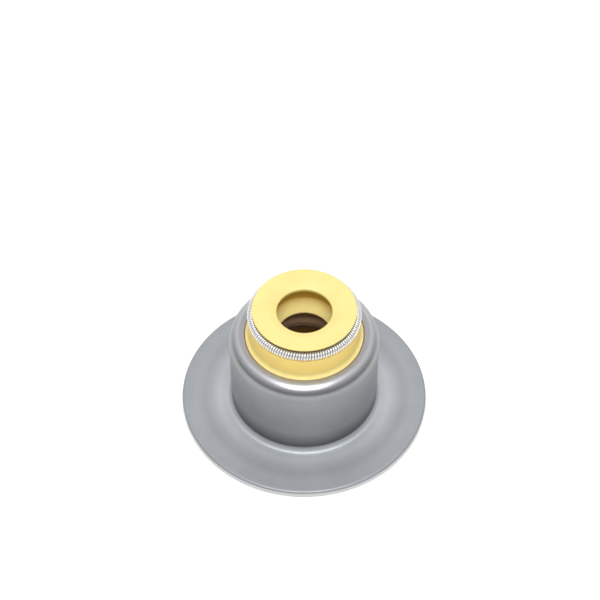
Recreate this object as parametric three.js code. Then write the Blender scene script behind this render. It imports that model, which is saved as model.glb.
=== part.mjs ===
// Valve stem seal with an integral spring seat, for a heavy-duty engine valve.
// Millimetres, +Z up. The origin is the centre of the flange's underside, the face that
// sits on the cylinder head. Three pieces: a deep-drawn steel shell, the rubber seal body
// that is moulded into it, and the garter spring that loads the sealing lip.

import * as THREE from 'three';
import { mergeVertices } from 'three/addons/utils/BufferGeometryUtils.js';

// Steel shell
const sheet = 1.1;              // thickness of the drawn sheet
const flangeRadius = 20;        // spring seat, outside
const wallRadius = 11.9;        // outside of the drawn wall
const shellHeight = 16.4;       // seat face to the top of the turned-in rim
const mouthRadius = 9.4;        // hole in the turned-in rim
const footFillet = 0.8;         // outside radius between wall and flange
const shoulderFillet = 2.0;     // outside radius between wall and rim
const flangeEdge = 0.4;         // rounding of the flange's upper edge
const edgeBreak = 0.2;          // blunting of the other edges

// What the seal is fitted to
const stemRadius = 4.5;         // valve stem
const guideRadius = 8;          // valve guide, outside
const guideStopHeight = 11;     // where the end of the guide stops, above the seat face

// Seal body
const bondLine = 0.05;          // adhesive film between rubber and steel
const oilLipSqueeze = 0.15;     // the stem stretches the upper lip by this, on the radius
const gasLipSqueeze = 0.3;      // and the lower lip by this
const gripSqueeze = 0.2;        // the guide squeezes the ribs by this, on the radius
const headRadius = 8.2;         // disc above the spring
const headEdge = 0.15;          // rounding of the disc's upper edge
const headHeight = 22.3;        // seat face to the top of the disc
const discEdge = 0.25;          // thickness of the disc at its edge
const discRoot = 0.6;           // and at the bottom of the spring's groove
const dishRadius = 5.65;        // shallow cone from the disc's flat down to the upper lip
const dishDepth = 0.5;
const oilLipDepth = 0.5;        // height of the upper lip's edge
const neckRadius = 8.75;        // waist between the spring and the shell's mouth
const mouthFlare = 0.55;        // fillet where the neck meets the mouth
const sealFoot = 2.6;           // rubber's lower end, above the seat face
const entryRadius = 8.75;       // guide's lead-in at the rubber's lower end
const ribCount = 3;
const ribDepth = 0.4;
const ribPitch = 2.2;
const cavityRadius = 6.4;       // bore between the guide stop and the lower lip
const cavityHeight = 13.4;      // where the cavity starts to close towards the lower lip
const reliefDepth = 1.3;        // bore between the lips, behind the upper one, on the radius
const ledgeHeight = 18.3;       // where the bore closes towards the lower lip
const ledgeBlend = 0.6;         // height over which the relief bends into that slope
const gasLipHeight = 16.4;

// Garter spring
const springRadius = 8.25;      // ring's middle line
const coilDiameter = 1.4;       // outside the turns
const wireDiameter = 0.34;
const turnGap = 0.03;           // between neighbouring turns, at the inside of the ring
const springClearance = 0.07;   // between the turns and their groove
const springHeadroom = 0.1;     // between the turns and the disc
const springHeight = headHeight - discRoot - springHeadroom - coilDiameter / 2;

// Facets
const segments = 48;            // round the axis, on the shell and the seal
const arcSteps = 2;             // Path.getPoints doubles this on each arc
const turnSides = 7;            // facets of one turn of the spring
const wireSides = 4;

const steel = new THREE.MeshStandardMaterial({
  name: 'phosphated_steel', color: 0x8f9499, roughness: 0.42, metalness: 1.0,
});
const rubber = new THREE.MeshStandardMaterial({
  name: 'yellow_rubber', color: 0xf2dc7a, roughness: 0.45, metalness: 0.0,
});
const springSteel = new THREE.MeshStandardMaterial({
  name: 'spring_steel', color: 0xc9ccd0, roughness: 0.25, metalness: 1.0,
});

// A profile is drawn in the half-plane of radius (x) and height (y). It closes on itself,
// and turns about the height axis into a solid of revolution.
function revolve(profile) {
  profile.closePath();
  const outline = profile.getPoints(arcSteps);
  const first = outline[0];
  const points = outline.filter((point, i) => i === 0 || point.distanceTo(outline[i - 1]) > 1e-6);
  if (points[points.length - 1].distanceTo(first) > 1e-6) {
    points.push(first.clone());
  }
  const turned = new THREE.LatheGeometry(points, segments);
  turned.deleteAttribute('normal');
  turned.deleteAttribute('uv');
  const solid = mergeVertices(turned, 1e-4);
  solid.rotateX(Math.PI / 2);
  solid.computeVertexNormals();
  return solid;
}

// One sheet drawn into a flange, a wall and a turned-in rim, so its inside follows its
// outside at the sheet's thickness: each bend has one centre and two radii.
function shellProfile() {
  const wallInside = wallRadius - sheet;
  const footBend = { x: wallRadius + footFillet, y: sheet + footFillet };
  const shoulderBend = { x: wallRadius - shoulderFillet, y: shellHeight - shoulderFillet };
  const rimUnderside = shellHeight - sheet;
  const p = new THREE.Path();
  p.moveTo(footBend.x, 0);
  p.lineTo(flangeRadius - edgeBreak, 0);
  p.lineTo(flangeRadius, edgeBreak);
  p.absarc(flangeRadius - flangeEdge, sheet - flangeEdge, flangeEdge, 0, Math.PI / 2, false);
  p.absarc(footBend.x, footBend.y, footFillet, -Math.PI / 2, -Math.PI, true);
  p.absarc(shoulderBend.x, shoulderBend.y, shoulderFillet, 0, Math.PI / 2, false);
  p.lineTo(mouthRadius + edgeBreak, shellHeight);
  p.lineTo(mouthRadius, shellHeight - edgeBreak);
  p.lineTo(mouthRadius, rimUnderside);
  p.absarc(shoulderBend.x, shoulderBend.y, shoulderFillet - sheet, Math.PI / 2, 0, true);
  p.lineTo(wallInside, footBend.y);
  p.absarc(footBend.x, footBend.y, footFillet + sheet, Math.PI, 1.5 * Math.PI, false);
  return p;
}

// Rubber against the inside of the shell, out through its mouth as a neck, round the
// spring's groove to the disc, then down the bore: upper lip, relief, lower lip, cavity,
// stop for the guide, and the ribs that grip the guide.
function sealProfile() {
  const bonded = wallRadius - sheet - bondLine;
  const cornerRadius = shoulderFillet - sheet;
  const underRim = shellHeight - sheet - bondLine;
  const inMouth = mouthRadius - bondLine;
  const grooveRadius = coilDiameter / 2 + springClearance;
  const oilLip = stemRadius - oilLipSqueeze;
  const gasLip = stemRadius - gasLipSqueeze;
  const reliefRadius = oilLip + reliefDepth;
  const lipUnderside = headHeight - dishDepth - oilLipDepth;
  const p = new THREE.Path();

  p.moveTo(entryRadius, sealFoot);
  p.lineTo(bonded, sealFoot);
  p.absarc(bonded - cornerRadius, underRim - cornerRadius, cornerRadius, 0, Math.PI / 2, false);
  p.lineTo(inMouth, underRim);
  p.lineTo(inMouth, shellHeight);
  p.absarc(neckRadius + mouthFlare, shellHeight + mouthFlare, mouthFlare, -Math.PI / 2, -Math.PI, true);

  const lowerLip = new THREE.Vector2(springRadius + grooveRadius * Math.cos(-Math.PI / 3),
    springHeight + grooveRadius * Math.sin(-Math.PI / 3));
  p.lineTo(neckRadius, lowerLip.y - edgeBreak / 2);
  p.absarc(springRadius, springHeight, grooveRadius, -Math.PI / 3, -Math.PI, true);

  p.lineTo(springRadius - grooveRadius, headHeight - discRoot);
  p.lineTo(headRadius, headHeight - discEdge);
  p.absarc(headRadius - headEdge, headHeight - headEdge, headEdge, 0, Math.PI / 2, false);
  p.lineTo(dishRadius, headHeight);
  p.lineTo(oilLip, headHeight - dishDepth);

  p.lineTo(oilLip, lipUnderside);
  p.lineTo(reliefRadius, lipUnderside - reliefDepth);
  p.lineTo(reliefRadius, ledgeHeight + ledgeBlend);
  p.quadraticCurveTo(reliefRadius, ledgeHeight, gasLip, gasLipHeight);
  p.lineTo(gasLip, gasLipHeight - edgeBreak);
  p.lineTo(cavityRadius, cavityHeight);
  p.lineTo(cavityRadius, guideStopHeight);

  const valley = guideRadius - gripSqueeze + ribDepth;
  p.lineTo(valley, guideStopHeight);
  for (let i = 0; i < ribCount; i += 1) {
    const crest = guideStopHeight - ribPitch * (i + 1);
    p.lineTo(valley, crest + ribPitch / 3);
    p.lineTo(valley - ribDepth, crest);
    p.lineTo(valley, crest - ribPitch / 3);
  }
  p.lineTo(entryRadius, sealFoot);
  return p;
}

// The spring's wire: a helix wound round a circle, closed on itself. Its parameter is
// taken as it comes, so every turn has its facets at the same places.
class RingHelix extends THREE.Curve {
  constructor(ringRadius, turnRadius, turns) {
    super();
    this.ringRadius = ringRadius;
    this.turnRadius = turnRadius;
    this.turns = turns;
  }

  getPoint(t, target = new THREE.Vector3()) {
    const round = 2 * Math.PI * t;
    const turn = round * this.turns;
    const radius = this.ringRadius + this.turnRadius * Math.cos(turn);
    return target.set(radius * Math.cos(round), radius * Math.sin(round), this.turnRadius * Math.sin(turn));
  }

  getPointAt(t, target) {
    return this.getPoint(t, target);
  }

  getTangentAt(t, target) {
    return this.getTangent(t, target);
  }
}

// Close-wound: as many turns as fit round the inside of the ring, in fours.
function springGeometry() {
  const turnRadius = (coilDiameter - wireDiameter) / 2;
  const insideLength = 2 * Math.PI * (springRadius - turnRadius);
  const turns = 4 * Math.floor(insideLength / (wireDiameter + turnGap) / 4);
  const helix = new RingHelix(springRadius, turnRadius, turns);
  const wire = new THREE.TubeGeometry(helix, turns * turnSides, wireDiameter / 2, wireSides, true);
  wire.deleteAttribute('normal');
  wire.deleteAttribute('uv');
  const solid = mergeVertices(wire, 1e-4);
  solid.computeVertexNormals();
  return solid;
}

const steelShell = new THREE.Mesh(revolve(shellProfile()), steel);
steelShell.name = 'steel_shell';

const sealBody = new THREE.Mesh(revolve(sealProfile()), rubber);
sealBody.name = 'seal_body';

const garterSpring = new THREE.Mesh(springGeometry(), springSteel);
garterSpring.name = 'garter_spring';
garterSpring.position.z = springHeight;

const valveStemSeal = new THREE.Group();
valveStemSeal.name = 'valve_stem_seal';
valveStemSeal.add(steelShell, sealBody, garterSpring);

export default valveStemSeal;
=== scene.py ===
import math

import bmesh
import bpy
from mathutils import Matrix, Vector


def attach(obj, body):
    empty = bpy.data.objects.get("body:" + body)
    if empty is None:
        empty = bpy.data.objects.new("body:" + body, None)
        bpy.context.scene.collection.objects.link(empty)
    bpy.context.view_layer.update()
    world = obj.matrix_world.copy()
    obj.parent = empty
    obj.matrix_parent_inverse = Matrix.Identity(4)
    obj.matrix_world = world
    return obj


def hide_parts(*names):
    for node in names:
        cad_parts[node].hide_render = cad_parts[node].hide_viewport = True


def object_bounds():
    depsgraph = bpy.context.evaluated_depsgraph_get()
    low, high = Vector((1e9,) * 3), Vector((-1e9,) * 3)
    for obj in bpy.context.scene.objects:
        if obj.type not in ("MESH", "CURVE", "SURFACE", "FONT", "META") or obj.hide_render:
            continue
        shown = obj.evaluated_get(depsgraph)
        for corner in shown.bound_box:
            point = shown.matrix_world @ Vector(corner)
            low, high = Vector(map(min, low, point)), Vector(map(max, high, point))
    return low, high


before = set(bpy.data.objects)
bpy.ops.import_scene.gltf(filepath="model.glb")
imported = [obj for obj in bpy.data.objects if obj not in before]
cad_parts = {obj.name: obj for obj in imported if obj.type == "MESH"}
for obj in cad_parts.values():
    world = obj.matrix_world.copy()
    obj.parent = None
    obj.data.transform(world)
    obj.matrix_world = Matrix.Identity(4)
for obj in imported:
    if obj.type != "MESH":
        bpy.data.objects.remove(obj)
cad_low, cad_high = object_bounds()
MM = 0.001


# Camera. A long lens looks down steeply into the seal's bore from the front, a little to
# the left of the stem's axis, as a hand-held shot over a table does.
CAMERA_DISTANCE = 280 * MM          # to the centre of the seat face
CAMERA_RISE = math.radians(53.36)   # of the camera above that centre
CAMERA_DIP = math.radians(50.15)    # of the view line below the horizon
CAMERA_LEFT = 0.68 * MM
LENS = 101.6                        # on a 36 mm sensor

camera = bpy.data.objects.new("camera", bpy.data.cameras.new("camera"))
camera.data.sensor_width = 36
camera.data.lens = LENS
camera.data.clip_start = 10 * MM
camera.location = (
    -CAMERA_LEFT,
    -CAMERA_DISTANCE * math.cos(CAMERA_RISE),
    CAMERA_DISTANCE * math.sin(CAMERA_RISE),
)
camera.rotation_euler = (math.pi / 2 - CAMERA_DIP, 0, 0)
bpy.context.scene.collection.objects.link(camera)
bpy.context.scene.camera = camera


# Steel shell. Sheet steel drawn in one piece: the wide flange that the valve spring stands
# on, the wall that the spring slides over, and a turned-in rim that holds the rubber. The
# sheet is tumbled and thinly phosphated, which leaves it a satin blue-grey.
SHEET = 1.1 * MM
FLANGE_RADIUS = 20 * MM
WALL_RADIUS = 11.9 * MM
SHELL_HEIGHT = 16.4 * MM
MOUTH_RADIUS = 9.4 * MM
FOOT_FILLET = 0.8 * MM
SHOULDER_FILLET = 2.0 * MM
FLANGE_EDGE = 0.4 * MM              # rounding of the flange's upper edge
CUT_EDGE = 0.2 * MM                 # rounding of the edges that the press cut
MOUTH_INNER_EDGE = 0.1 * MM         # rounding of the rim's lower edge, against the rubber
TURN_STEPS = 160                    # round the stem's axis
BEND_STEPS = 10                     # along one bend of an outline
LONGEST_EDGE = 0.45 * MM            # along the straight stretches of an outline
NOISE_LOW = 0.3                     # most of a noise texture lies between these two
NOISE_HIGH = 0.7
BUMP_DEPTH = 0.004 * MM


def turned(name, corners):
    """A closed outline of (radius, height, rounding) corners, spun about the stem's axis."""
    bm = bmesh.new()
    verts = [bm.verts.new((radius, 0, height)) for radius, height, _ in corners]
    for start, end in zip(verts, verts[1:] + verts[:1]):
        bm.edges.new((start, end))
    for vert, (_, _, rounding) in zip(verts, corners):
        bmesh.ops.bevel(
            bm, geom=[vert], offset=rounding, offset_type="OFFSET", segments=BEND_STEPS,
            profile=0.5, affect="VERTICES", material=-1,
        )
    for edge in list(bm.edges):
        cuts = math.ceil(edge.calc_length() / LONGEST_EDGE) - 1
        if cuts > 0:
            bmesh.ops.subdivide_edges(bm, edges=[edge], cuts=cuts)
    bmesh.ops.spin(
        bm, geom=bm.verts[:] + bm.edges[:], cent=(0, 0, 0), axis=(0, 0, 1),
        angle=2 * math.pi, steps=TURN_STEPS, use_merge=True, use_duplicate=False,
    )
    bmesh.ops.recalc_face_normals(bm, faces=bm.faces)
    for face in bm.faces:
        face.smooth = True
    return finished(name, bm)


def finished(name, bm):
    """The bmesh as a piece of the part, which rides on its one body."""
    mesh = bpy.data.meshes.new(name)
    bm.to_mesh(mesh)
    bm.free()
    piece = bpy.data.objects.new(name, mesh)
    bpy.context.scene.collection.objects.link(piece)
    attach(piece, "root")
    return piece


def new_material(name):
    """A node material with its shader, and a coordinate node that reads the part's own place."""
    material = bpy.data.materials.new(name)
    material.use_nodes = True
    nodes = material.node_tree.nodes
    place = nodes.new("ShaderNodeTexCoord")
    return material, nodes, material.node_tree.links, nodes["Principled BSDF"], place


def grey(level):
    return (level, level, level)


def noise(nodes, links, place, scale, detail=4.0, roughness=0.5):
    """Noise that sticks to the part, with its scale in patches to the metre."""
    texture = nodes.new("ShaderNodeTexNoise")
    texture.inputs["Scale"].default_value = scale
    texture.inputs["Detail"].default_value = detail
    texture.inputs["Roughness"].default_value = roughness
    links.new(place.outputs["Object"], texture.inputs["Vector"])
    return texture


def spread(nodes, links, source, low, high):
    """The noise's usual range, spread between two values."""
    ramp = nodes.new("ShaderNodeMapRange")
    ramp.inputs["From Min"].default_value = NOISE_LOW
    ramp.inputs["From Max"].default_value = NOISE_HIGH
    ramp.inputs["To Min"].default_value = low
    ramp.inputs["To Max"].default_value = high
    links.new(source, ramp.inputs["Value"])
    return ramp.outputs["Result"]


def height_and_radius(nodes, links, place):
    """Height above the seat face and distance from the stem's axis."""
    axes = nodes.new("ShaderNodeSeparateXYZ")
    links.new(place.outputs["Object"], axes.inputs["Vector"])
    flat = nodes.new("ShaderNodeCombineXYZ")
    links.new(axes.outputs["X"], flat.inputs["X"])
    links.new(axes.outputs["Y"], flat.inputs["Y"])
    length = nodes.new("ShaderNodeVectorMath")
    length.operation = "LENGTH"
    links.new(flat.outputs["Vector"], length.inputs[0])
    return axes.outputs["Z"], length.outputs["Value"]


def ramp_along(nodes, links, distance, whole, stops):
    """Colours that follow a distance, each stop a place on it and a colour."""
    share = nodes.new("ShaderNodeMath")
    share.operation = "DIVIDE"
    share.inputs[1].default_value = whole
    links.new(distance, share.inputs[0])
    ramp = nodes.new("ShaderNodeValToRGB")
    points = ramp.color_ramp.elements
    while len(points) < len(stops):
        points.new(0.5)
    for point, (at, colour) in zip(points, stops):
        point.position = at / whole
        point.color = (*colour, 1)
    links.new(share.outputs["Value"], ramp.inputs["Fac"])
    return ramp.outputs["Color"]


def multiplied(nodes, links, first, second):
    """The product of two colours."""
    product = nodes.new("ShaderNodeMix")
    product.data_type = "RGBA"
    product.blend_type = "MULTIPLY"
    product.inputs["Factor"].default_value = 1.0
    links.new(first, product.inputs["A"])
    links.new(second, product.inputs["B"])
    return product.outputs["Result"]


def mottled(nodes, links, place, scale, dull):
    """Soft patches between a dull tint and white, to multiply a colour by."""
    cloud = noise(nodes, links, place, scale=scale, detail=3)
    mix = nodes.new("ShaderNodeMix")
    mix.data_type = "RGBA"
    mix.inputs["A"].default_value = (*dull, 1)
    mix.inputs["B"].default_value = (1, 1, 1, 1)
    links.new(spread(nodes, links, cloud.outputs["Fac"], low=0, high=1), mix.inputs["Factor"])
    return mix.outputs["Result"]


def bumped(nodes, links, shader, texture, strength):
    """Bumps on the shader's surface where the texture is light."""
    bump = nodes.new("ShaderNodeBump")
    bump.inputs["Strength"].default_value = strength
    bump.inputs["Distance"].default_value = BUMP_DEPTH
    links.new(texture.outputs["Fac"], bump.inputs["Height"])
    links.new(bump.outputs["Normal"], shader.inputs["Normal"])


def phosphated_steel():
    """Satin grey, with painted light and shade by height: a painted reflection of the white table
    on the flange's sheared edge, painted shade at the foot of the wall, a rim painted paler where
    it catches the lamps, and painted rings of light on the flange, brightest next to the wall."""
    material, nodes, links, shader, place = new_material("phosphated_steel")
    mottle = mottled(nodes, links, place, scale=220, dull=(0.92, 0.92, 0.93))
    height, radius = height_and_radius(nodes, links, place)
    flange = (0.56, 0.585, 0.615)
    # Painted shade: the wall is painted dark at its foot, in the corner with the flange.
    foot_painted_shade = (0.12, 0.125, 0.12)
    wall = (0.35, 0.363, 0.366)
    # Painted light: the rim's shoulder and flat are painted paler than the wall, where they catch
    # the lamps.
    rim_painted_light = (0.62, 0.62, 0.65)
    rim_flat_painted_light = (0.42, 0.42, 0.44)
    # Painted reflection: the flange's cut edge is painted white, as it mirrors the white table.
    sheared_edge_painted_reflection = (1, 1, 1)
    height_colour = ramp_along(nodes, links, height, cad_high[2], [
        (0, flange),
        (0.12 * MM, sheared_edge_painted_reflection),
        (0.6 * MM, sheared_edge_painted_reflection),
        (0.9 * MM, flange),
        (1.8 * MM, flange),
        (2.25 * MM, foot_painted_shade),
        (5.6 * MM, wall),
        (15.6 * MM, wall),
        (16.2 * MM, rim_painted_light),
        (16.28 * MM, rim_painted_light),
        (16.38 * MM, rim_flat_painted_light),
    ])
    # Painted light: the flange is painted lighter in rings, brightest next to the wall.
    painted_light_rings = ramp_along(nodes, links, radius, FLANGE_RADIUS, [
        (13.9 * MM, grey(1)),
        (15.2 * MM, grey(0.78)),
        (16.3 * MM, grey(0.68)),
        (17.6 * MM, grey(0.74)),
        (19.4 * MM, grey(0.70)),
    ])
    tone = multiplied(nodes, links, mottle, painted_light_rings)
    links.new(multiplied(nodes, links, tone, height_colour), shader.inputs["Base Color"])
    metal = ramp_along(nodes, links, height, cad_high[2], [
        (1.8 * MM, grey(0.65)),
        (2.25 * MM, grey(0.85)),
    ])
    links.new(metal, shader.inputs["Metallic"])
    grain = noise(nodes, links, place, scale=2600, detail=5, roughness=0.6)
    satin = spread(nodes, links, grain.outputs["Fac"], low=0.9, high=1.1)
    height_roughness = ramp_along(nodes, links, height, cad_high[2], [
        (1.12 * MM, grey(0.5)),
        (1.25 * MM, grey(0.62)),
        (1.7 * MM, grey(0.62)),
        (2.2 * MM, grey(0.42)),
        (14 * MM, grey(0.42)),
        (15.4 * MM, grey(0.3)),
        (16.25 * MM, grey(0.3)),
        (16.4 * MM, grey(0.5)),
    ])
    roughness = nodes.new("ShaderNodeMath")
    roughness.operation = "MULTIPLY"
    links.new(satin, roughness.inputs[0])
    links.new(height_roughness, roughness.inputs[1])
    links.new(roughness.outputs["Value"], shader.inputs["Roughness"])
    bumped(nodes, links, shader, grain, strength=0.04)
    return material


steel_shell = turned("steel_shell_drawn", [
    (FLANGE_RADIUS, 0, CUT_EDGE),
    (FLANGE_RADIUS, SHEET, FLANGE_EDGE),
    (WALL_RADIUS, SHEET, FOOT_FILLET),
    (WALL_RADIUS, SHELL_HEIGHT, SHOULDER_FILLET),
    (MOUTH_RADIUS, SHELL_HEIGHT, CUT_EDGE),
    (MOUTH_RADIUS, SHELL_HEIGHT - SHEET, MOUTH_INNER_EDGE),
    (WALL_RADIUS - SHEET, SHELL_HEIGHT - SHEET, SHOULDER_FILLET - SHEET),
    (WALL_RADIUS - SHEET, 0, FOOT_FILLET + SHEET),
])
steel_shell.data.materials.append(phosphated_steel())
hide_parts("steel_shell")


# Seal body. Yellow fluororubber moulded into the shell: a disc and a neck above the rim,
# the groove that the spring lies in, two lips on the stem, and ribs that grip the guide.
BOND_LINE = 0.05 * MM
HEAD_HEIGHT = 22.3 * MM
HEAD_RADIUS = 8.2 * MM
NECK_RADIUS = 8.75 * MM
SPRING_RADIUS = 8.25 * MM
DISC_EDGE = 0.25 * MM
DISC_ROOT = 0.6 * MM
COIL_DIAMETER = 1.4 * MM
SPRING_HEADROOM = 0.1 * MM          # between the turns and the disc
SPRING_CLEARANCE = 0.07 * MM        # between the turns and their groove
SPRING_HEIGHT = HEAD_HEIGHT - DISC_ROOT - SPRING_HEADROOM - COIL_DIAMETER / 2
GROOVE_RADIUS = COIL_DIAMETER / 2 + SPRING_CLEARANCE
GROOVE_WALL = SPRING_RADIUS - GROOVE_RADIUS
DISH_RADIUS = 5.65 * MM
DISH_DEPTH = 0.5 * MM
OIL_LIP_RADIUS = 4.35 * MM
OIL_LIP_DEPTH = 0.5 * MM
RELIEF_RADIUS = 5.65 * MM
LEDGE_HEIGHT = 18.3 * MM
GAS_LIP_RADIUS = 4.2 * MM
GAS_LIP_HEIGHT = 16.4 * MM
GAS_LIP_DEPTH = 0.2 * MM
CAVITY_RADIUS = 6.4 * MM
CAVITY_HEIGHT = 13.4 * MM
RIB_COUNT = 3
RIB_VALLEY = 8.2 * MM
RIB_CREST = 7.8 * MM
RIB_PITCH = 2.2 * MM
GUIDE_STOP = 11 * MM
SEAL_FOOT = 2.6 * MM
SEAL_ENTRY = 8.75 * MM

# Roundings of the moulding's corners, from its foot up the outside and down the bore
ENTRY_EDGE = 0.15 * MM
FOOT_EDGE = 0.2 * MM
BOND_EDGE = 0.02 * MM
MOUTH_EDGE = 0.04 * MM
NECK_FLARE = 0.54 * MM
GROOVE_LIP = 0.12 * MM
GROOVE_BOTTOM = 0.7 * MM
GROOVE_TOP = 0.1 * MM
DISC_LOWER_EDGE = 0.08 * MM
DISC_UPPER_EDGE = 0.12 * MM
DISH_EDGE = 0.2 * MM
OIL_LIP_MOUTH = 0.1 * MM
LIP_EDGE = 0.08 * MM
RELIEF_BEND = 0.3 * MM
LEDGE_BEND = 0.6 * MM
CAVITY_BEND = 0.5 * MM
STOP_BEND = 0.2 * MM
RIB_ROOT = 0.1 * MM
RIB_ROUND = 0.25 * MM


def yellow_rubber():
    """Dull yellow, with painted light and shade by height. Painted shade browns the rubber in the
    spring's groove, under the oil lip and deep in the guide's socket, and painted light makes the
    neck more golden and the ledge above the lower lip brighter than the disc."""
    material, nodes, links, shader, place = new_material("yellow_rubber")
    mottle = mottled(nodes, links, place, scale=350, dull=(0.95, 0.93, 0.88))
    height, radius = height_and_radius(nodes, links, place)
    pale = (0.88, 0.75, 0.29)
    # Painted light: the neck is painted a brighter, deeper golden than the disc, as a glow from
    # light within the rubber.
    golden_painted_glow = (0.98, 0.735, 0.205)
    # Painted light: the ledge above the lower lip is painted brighter.
    bright_painted_light = (1.0, 0.87, 0.36)
    # Painted light, where the ledge's brightness fades up the bore.
    honey_painted_light = (1.0, 0.76, 0.24)
    # Painted shade under the oil lip, in the bore's undercut.
    amber_painted_shade = (0.62, 0.40, 0.06)
    # Painted shade in the spring's groove and under the disc.
    groove_painted_shade = (0.40, 0.29, 0.09)
    # Painted shade deep in the guide's socket: the cavity under the lower lip and the middle rib.
    brown_painted_shade = (0.24, 0.11, 0.02)
    # A paler greyish tan on the guide's stop, the upper rib and the cavity's foot.
    greyish_tan = (0.80, 0.58, 0.40)
    outside = ramp_along(nodes, links, height, cad_high[2], [
        (6.0 * MM, golden_painted_glow),
        (6.6 * MM, brown_painted_shade),
        (8.2 * MM, brown_painted_shade),
        (8.7 * MM, greyish_tan),
        (16.3 * MM, greyish_tan),
        (16.4 * MM, pale),
        (17.0 * MM, pale),
        (17.6 * MM, golden_painted_glow),
        (20.2 * MM, golden_painted_glow),
        (20.5 * MM, groove_painted_shade),
        (21.9 * MM, groove_painted_shade),
        (22.1 * MM, pale),
    ])
    bore = ramp_along(nodes, links, height, cad_high[2], [
        (12.0 * MM, greyish_tan),
        (12.9 * MM, brown_painted_shade),
        (15.9 * MM, brown_painted_shade),
        (16.4 * MM, bright_painted_light),
        (17.3 * MM, bright_painted_light),
        (18.2 * MM, honey_painted_light),
        (18.6 * MM, amber_painted_shade),
        (21.2 * MM, amber_painted_shade),
        (21.7 * MM, pale),
    ])
    in_bore = nodes.new("ShaderNodeMath")
    in_bore.operation = "LESS_THAN"
    in_bore.inputs[1].default_value = GROOVE_WALL
    links.new(radius, in_bore.inputs[0])
    tone = nodes.new("ShaderNodeMix")
    tone.data_type = "RGBA"
    links.new(in_bore.outputs["Value"], tone.inputs["Factor"])
    links.new(outside, tone.inputs["A"])
    links.new(bore, tone.inputs["B"])
    links.new(multiplied(nodes, links, mottle, tone.outputs["Result"]), shader.inputs["Base Color"])
    skin = noise(nodes, links, place, scale=3200, detail=4)
    gloss = spread(nodes, links, skin.outputs["Fac"], low=0.38, high=0.5)
    links.new(gloss, shader.inputs["Roughness"])
    bumped(nodes, links, shader, skin, strength=0.2)
    return material


bonded = WALL_RADIUS - SHEET - BOND_LINE
under_rim = SHELL_HEIGHT - SHEET - BOND_LINE
in_mouth = MOUTH_RADIUS - BOND_LINE
lip_underside = HEAD_HEIGHT - DISH_DEPTH - OIL_LIP_DEPTH
ribs = []
for i in range(RIB_COUNT):
    crest = GUIDE_STOP - RIB_PITCH * (i + 1)
    ribs += [
        (RIB_VALLEY, crest + RIB_PITCH / 3, RIB_ROOT),
        (RIB_CREST, crest, RIB_ROUND),
        (RIB_VALLEY, crest - RIB_PITCH / 3, RIB_ROOT),
    ]
seal_body = turned("seal_body_moulded", [
    (SEAL_ENTRY, SEAL_FOOT, ENTRY_EDGE),
    (bonded, SEAL_FOOT, FOOT_EDGE),
    (bonded, under_rim, SHOULDER_FILLET - SHEET),
    (in_mouth, under_rim, BOND_EDGE),
    (in_mouth, SHELL_HEIGHT, MOUTH_EDGE),
    (NECK_RADIUS, SHELL_HEIGHT, NECK_FLARE),
    (NECK_RADIUS, SPRING_HEIGHT - GROOVE_RADIUS, GROOVE_LIP),
    (GROOVE_WALL, SPRING_HEIGHT - GROOVE_RADIUS, GROOVE_BOTTOM),
    (GROOVE_WALL, HEAD_HEIGHT - DISC_ROOT, GROOVE_TOP),
    (HEAD_RADIUS, HEAD_HEIGHT - DISC_EDGE, DISC_LOWER_EDGE),
    (HEAD_RADIUS, HEAD_HEIGHT, DISC_UPPER_EDGE),
    (DISH_RADIUS, HEAD_HEIGHT, DISH_EDGE),
    (OIL_LIP_RADIUS, HEAD_HEIGHT - DISH_DEPTH, OIL_LIP_MOUTH),
    (OIL_LIP_RADIUS, lip_underside, LIP_EDGE),
    (RELIEF_RADIUS, lip_underside - (RELIEF_RADIUS - OIL_LIP_RADIUS), RELIEF_BEND),
    (RELIEF_RADIUS, LEDGE_HEIGHT, LEDGE_BEND),
    (GAS_LIP_RADIUS, GAS_LIP_HEIGHT, LIP_EDGE),
    (GAS_LIP_RADIUS, GAS_LIP_HEIGHT - GAS_LIP_DEPTH, LIP_EDGE),
    (CAVITY_RADIUS, CAVITY_HEIGHT, CAVITY_BEND),
    (CAVITY_RADIUS, GUIDE_STOP, STOP_BEND),
    (RIB_VALLEY, GUIDE_STOP, STOP_BEND),
    *ribs,
])
seal_body.data.materials.append(yellow_rubber())
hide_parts("seal_body")


# Garter spring. Bright drawn wire wound close into a long coil whose ends are joined, so it
# makes a ring. It lies in the groove under the disc and presses the lip on the stem.
WIRE_DIAMETER = 0.34 * MM
COIL_TURNS = 128
TURN_POINTS = 20                    # along one turn of the wire


def spring_steel():
    material, nodes, links, shader, place = new_material("spring_steel")
    shader.inputs["Metallic"].default_value = 0.8
    shader.inputs["Base Color"].default_value = (0.95, 0.94, 0.93, 1)
    draw_marks = noise(nodes, links, place, scale=4000, detail=3)
    gloss = spread(nodes, links, draw_marks.outputs["Fac"], low=0.34, high=0.46)
    links.new(gloss, shader.inputs["Roughness"])
    return material


turn_radius = (COIL_DIAMETER - WIRE_DIAMETER) / 2
wire = bpy.data.curves.new("garter_spring_wire", "CURVE")
wire.dimensions = "3D"
wire.bevel_depth = WIRE_DIAMETER / 2
wire.bevel_resolution = 2
spline = wire.splines.new("POLY")
spline.points.add(COIL_TURNS * TURN_POINTS - 1)
spline.use_cyclic_u = True
for i, point in enumerate(spline.points):
    turn = 2 * math.pi * i / TURN_POINTS
    round_ring = turn / COIL_TURNS
    radius = SPRING_RADIUS + turn_radius * math.cos(turn)
    height = SPRING_HEIGHT + turn_radius * math.sin(turn)
    point.co = (radius * math.cos(round_ring), radius * math.sin(round_ring), height, 1)
wire_object = bpy.data.objects.new("garter_spring_wire", wire)
bpy.context.scene.collection.objects.link(wire_object)
bpy.context.view_layer.update()
spring_mesh = bpy.data.meshes.new_from_object(wire_object)
bpy.data.objects.remove(wire_object)
spring_mesh.name = "garter_spring_wound"
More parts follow.
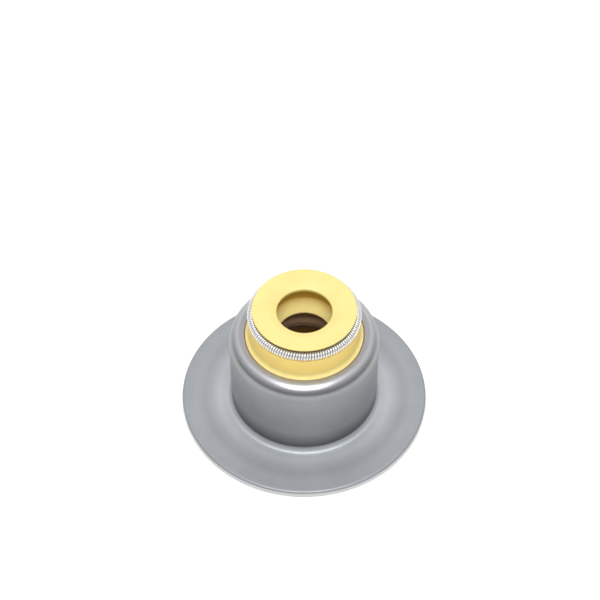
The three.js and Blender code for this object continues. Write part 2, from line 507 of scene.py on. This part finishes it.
for polygon in spring_mesh.polygons:
    polygon.use_smooth = True
garter_spring = bpy.data.objects.new("garter_spring_wound", spring_mesh)
bpy.context.scene.collection.objects.link(garter_spring)
garter_spring.data.materials.clear()
garter_spring.data.materials.append(spring_steel())
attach(garter_spring, "root")
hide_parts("garter_spring")


# Table and light. The part stands on a white sheet in a white tent. A small softbox high in
# front makes the highlights, and a fill lamp that no surface mirrors lifts the shade. The tent
# is bright behind the part, and darker behind the camera and at the two sides.
FLOOR_SIDE = 0.6
FLOOR_DROP = 0.02 * MM              # keeps the sheet just clear of the seat face
SOFTBOX_SIDE = 0.26
SOFTBOX_DISTANCE = 0.6
SOFTBOX_RISE = math.radians(75)
SOFTBOX_POWER = 1.75
FILL_SIDE = 0.3
FILL_DISTANCE = 0.6
FILL_RISE = math.radians(50)
FILL_POWER = 0.8
TENT_FRONT = 0.32                   # brightness behind the camera
TENT_BACK = 0.95
TENT_FRONT_AT = -0.8                # a ray's own Y at which it meets the front
TENT_BACK_AT = 0.3
TENT_SIDE_LOSS = 0.6                # share of it that is missing straight to the left and right


def white_paper():
    material, _, _, shader, _ = new_material("white_paper")
    shader.inputs["Base Color"].default_value = (*grey(0.95), 1)
    shader.inputs["Roughness"].default_value = 0.9
    return material


def area_lamp(name, side, distance, rise, power):
    """A square lamp in front of the part, turned towards the centre of the seat face."""
    lamp = bpy.data.objects.new(name, bpy.data.lights.new(name, "AREA"))
    lamp.data.shape = "SQUARE"
    lamp.data.size = side
    lamp.data.energy = power
    lamp.location = (0, -distance * math.cos(rise), distance * math.sin(rise))
    lamp.rotation_euler = (math.pi / 2 - rise, 0, 0)
    bpy.context.scene.collection.objects.link(lamp)
    return lamp


def white_tent():
    """A world that is plain white to the camera and lights the part as the tent's walls do."""
    world = bpy.data.worlds.new("white_tent")
    world.use_nodes = True
    nodes = world.node_tree.nodes
    links = world.node_tree.links
    direction = nodes.new("ShaderNodeTexCoord")
    axes = nodes.new("ShaderNodeSeparateXYZ")
    links.new(direction.outputs["Generated"], axes.inputs["Vector"])
    depth = nodes.new("ShaderNodeMapRange")
    depth.inputs["From Min"].default_value = TENT_FRONT_AT
    depth.inputs["From Max"].default_value = TENT_BACK_AT
    depth.inputs["To Min"].default_value = TENT_FRONT
    depth.inputs["To Max"].default_value = TENT_BACK
    links.new(axes.outputs["Y"], depth.inputs["Value"])
    aside = nodes.new("ShaderNodeMath")
    aside.operation = "POWER"
    aside.inputs[1].default_value = 2
    links.new(axes.outputs["X"], aside.inputs[0])
    side_share = nodes.new("ShaderNodeMath")
    side_share.operation = "MULTIPLY_ADD"
    side_share.inputs[1].default_value = -TENT_SIDE_LOSS
    side_share.inputs[2].default_value = 1
    links.new(aside.outputs["Value"], side_share.inputs[0])
    level = nodes.new("ShaderNodeMath")
    level.operation = "MULTIPLY"
    links.new(depth.outputs["Result"], level.inputs[0])
    links.new(side_share.outputs["Value"], level.inputs[1])
    ray = nodes.new("ShaderNodeLightPath")
    strength = nodes.new("ShaderNodeMix")
    strength.data_type = "FLOAT"
    strength.inputs["B"].default_value = 1.0
    links.new(ray.outputs["Is Camera Ray"], strength.inputs["Factor"])
    links.new(level.outputs["Value"], strength.inputs["A"])
    background = nodes["Background"]
    background.inputs["Color"].default_value = (1, 1, 1, 1)
    links.new(strength.outputs["Result"], background.inputs["Strength"])
    return world


floor_bm = bmesh.new()
bmesh.ops.create_grid(
    floor_bm, x_segments=1, y_segments=1, size=FLOOR_SIDE / 2,
    matrix=Matrix.Translation((0, 0, -FLOOR_DROP)),
)
floor_mesh = bpy.data.meshes.new("table_sheet")
floor_bm.to_mesh(floor_mesh)
floor_bm.free()
floor = bpy.data.objects.new("table_sheet", floor_mesh)
bpy.context.scene.collection.objects.link(floor)
floor.data.materials.append(white_paper())

area_lamp("softbox", SOFTBOX_SIDE, SOFTBOX_DISTANCE, SOFTBOX_RISE, SOFTBOX_POWER)
fill = area_lamp("fill", FILL_SIDE, FILL_DISTANCE, FILL_RISE, FILL_POWER)
fill.visible_glossy = False
bpy.context.scene.world = white_tent()
bpy.context.scene.view_settings.view_transform = "Standard"
